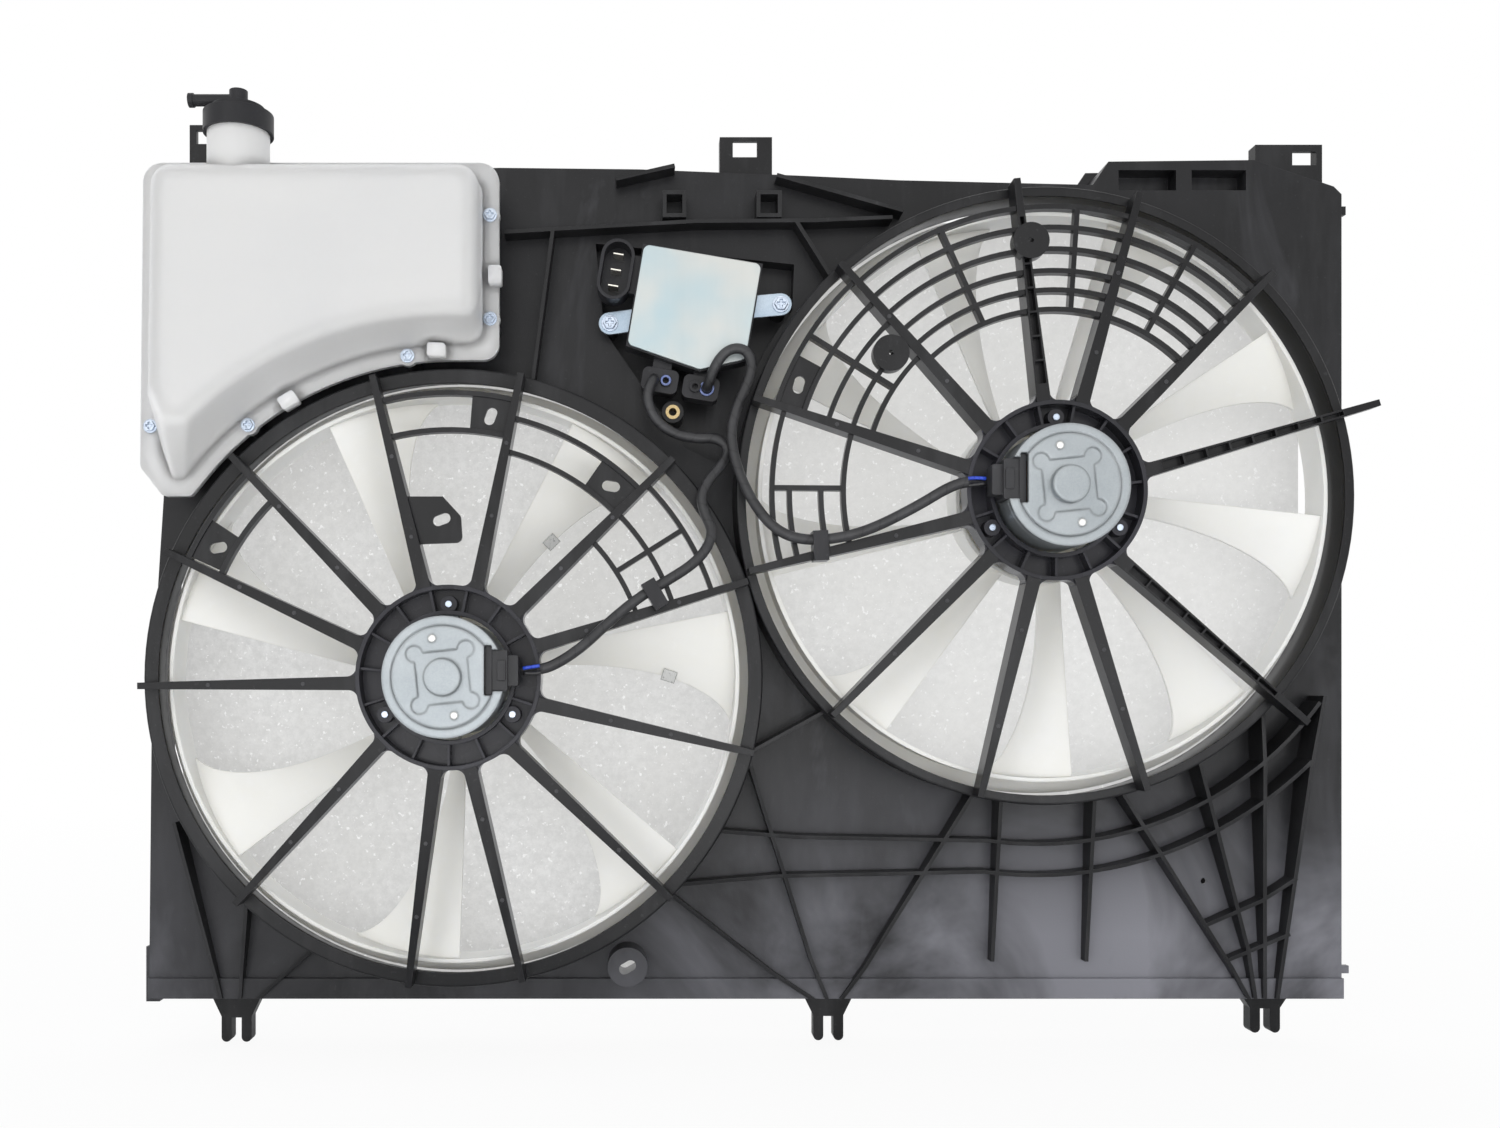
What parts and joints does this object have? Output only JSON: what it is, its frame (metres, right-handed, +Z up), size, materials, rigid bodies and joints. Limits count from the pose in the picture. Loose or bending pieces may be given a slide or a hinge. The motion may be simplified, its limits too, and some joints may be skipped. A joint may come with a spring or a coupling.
{
  "type": "cooling fan assembly",
  "caption": "Twin electric radiator fan assembly in a moulded shroud, with its motors, controller and a coolant reservoir with a lift-off cap.",
  "frame": {"origin": "middle of the shroud's lower edge in the plane of the lip that meets the radiator", "axes": "+X to the right seen from the engine, +Z up the standing assembly, +Y towards the radiator, so the motors face -Y"},
  "size_m": [0.7889, 0.122, 0.605],
  "materials": {
    "shroud_plastic": "moulded, slightly worn",
    "fan_plastic": "natural nylon, satin",
    "tank_plastic": "milky translucent, satin",
    "cap_plastic": "moulded satin",
    "seal_rubber": "matt",
    "tube_plastic": "translucent",
    "motor_steel": "zinc plated, dull",
    "screw_steel": "zinc plated",
    "shaft_steel": "ground",
    "armature_steel": "stacked sheets with windings",
    "copper": "turned",
    "magnet_ferrite": "sintered, matt",
    "bush_bronze": "sintered",
    "board_resin": "laminate",
    "brush_carbon": "matt",
    "connector_plastic": "moulded, dark grey",
    "lead_loom": "woven sleeve",
    "plate_aluminium": "mill finish",
    "controller_plastic": "moulded satin",
    "circuit_board": "lacquered",
    "terminal_brass": "tin plated",
    "insert_brass": "turned",
    "spring_steel": "bright"
  },
  "bodies": {
    "shroud": {"shroud_panel": "shroud_plastic", "shroud_skirt": "shroud_plastic", "left_fan_barrel": "shroud_plastic", "right_fan_barrel": "shroud_plastic", "left_motor_ring": "shroud_plastic", "right_motor_ring": "shroud_plastic", "left_spokes": "shroud_plastic", "right_spokes": "shroud_plastic", "left_guard_bars": "shroud_plastic", "right_guard_bars": "shroud_plastic", "harness_tabs": "shroud_plastic", "lower_ribs": "shroud_plastic", "upper_ribs": "shroud_plastic", "top_tabs": "shroud_plastic", "forked_feet": "shroud_plastic", "reservoir_front": "tank_plastic", "reservoir_back": "tank_plastic", "reservoir_screws": "screw_steel", "controller_screws": "screw_steel", "left_motor_screws": "screw_steel", "right_motor_screws": "screw_steel", "left_motor_can": "motor_steel", "left_motor_end_bell": "motor_steel", "right_motor_can": "motor_steel", "right_motor_end_bell": "motor_steel", "left_magnets": "magnet_ferrite", "right_magnets": "magnet_ferrite", "left_motor_bushes": "bush_bronze", "right_motor_bushes": "bush_bronze", "left_brush_plate": "board_resin", "right_brush_plate": "board_resin", "left_brushes": "brush_carbon", "right_brushes": "brush_carbon", "left_motor_connector": "connector_plastic", "right_motor_connector": "connector_plastic", "left_lead_plug": "connector_plastic", "right_lead_plug": "connector_plastic", "left_motor_lead": "lead_loom", "right_motor_lead": "lead_loom", "controller_cover": "plate_aluminium", "controller_bracket": "plate_aluminium", "controller_housing": "controller_plastic", "lead_clips": "controller_plastic", "controller_board": "circuit_board", "supply_blades": "terminal_brass", "brass_insert": "insert_brass"},
    "left_rotor": {"left_fan": "fan_plastic", "left_fan_nut": "screw_steel", "left_motor_shaft": "shaft_steel", "left_armature": "armature_steel", "left_commutator": "copper", "fan_balance_clips": "spring_steel"},
    "right_rotor": {"right_fan": "fan_plastic", "right_fan_nut": "screw_steel", "right_motor_shaft": "shaft_steel", "right_armature": "armature_steel", "right_commutator": "copper"},
    "filler_cap": {"reservoir_cap": "cap_plastic", "cap_seal": "seal_rubber", "dip_tube": "tube_plastic"}
  },
  "joints": [
    {"name": "left_fan_spin", "type": "hinge", "parent": "shroud", "child": "left_rotor", "pos_m": [-0.18365, 0, 0.2055], "axis": [0, 1, 0], "continuous": true},
    {"name": "right_fan_spin", "type": "hinge", "parent": "shroud", "child": "right_rotor", "pos_m": [0.18365, 0, 0.3185], "axis": [0, 1, 0], "continuous": true},
    {"name": "cap_lift", "type": "slide", "parent": "shroud", "child": "filler_cap", "axis": [0, 0, 1], "range_m": [0, 0.17]}
  ]
}
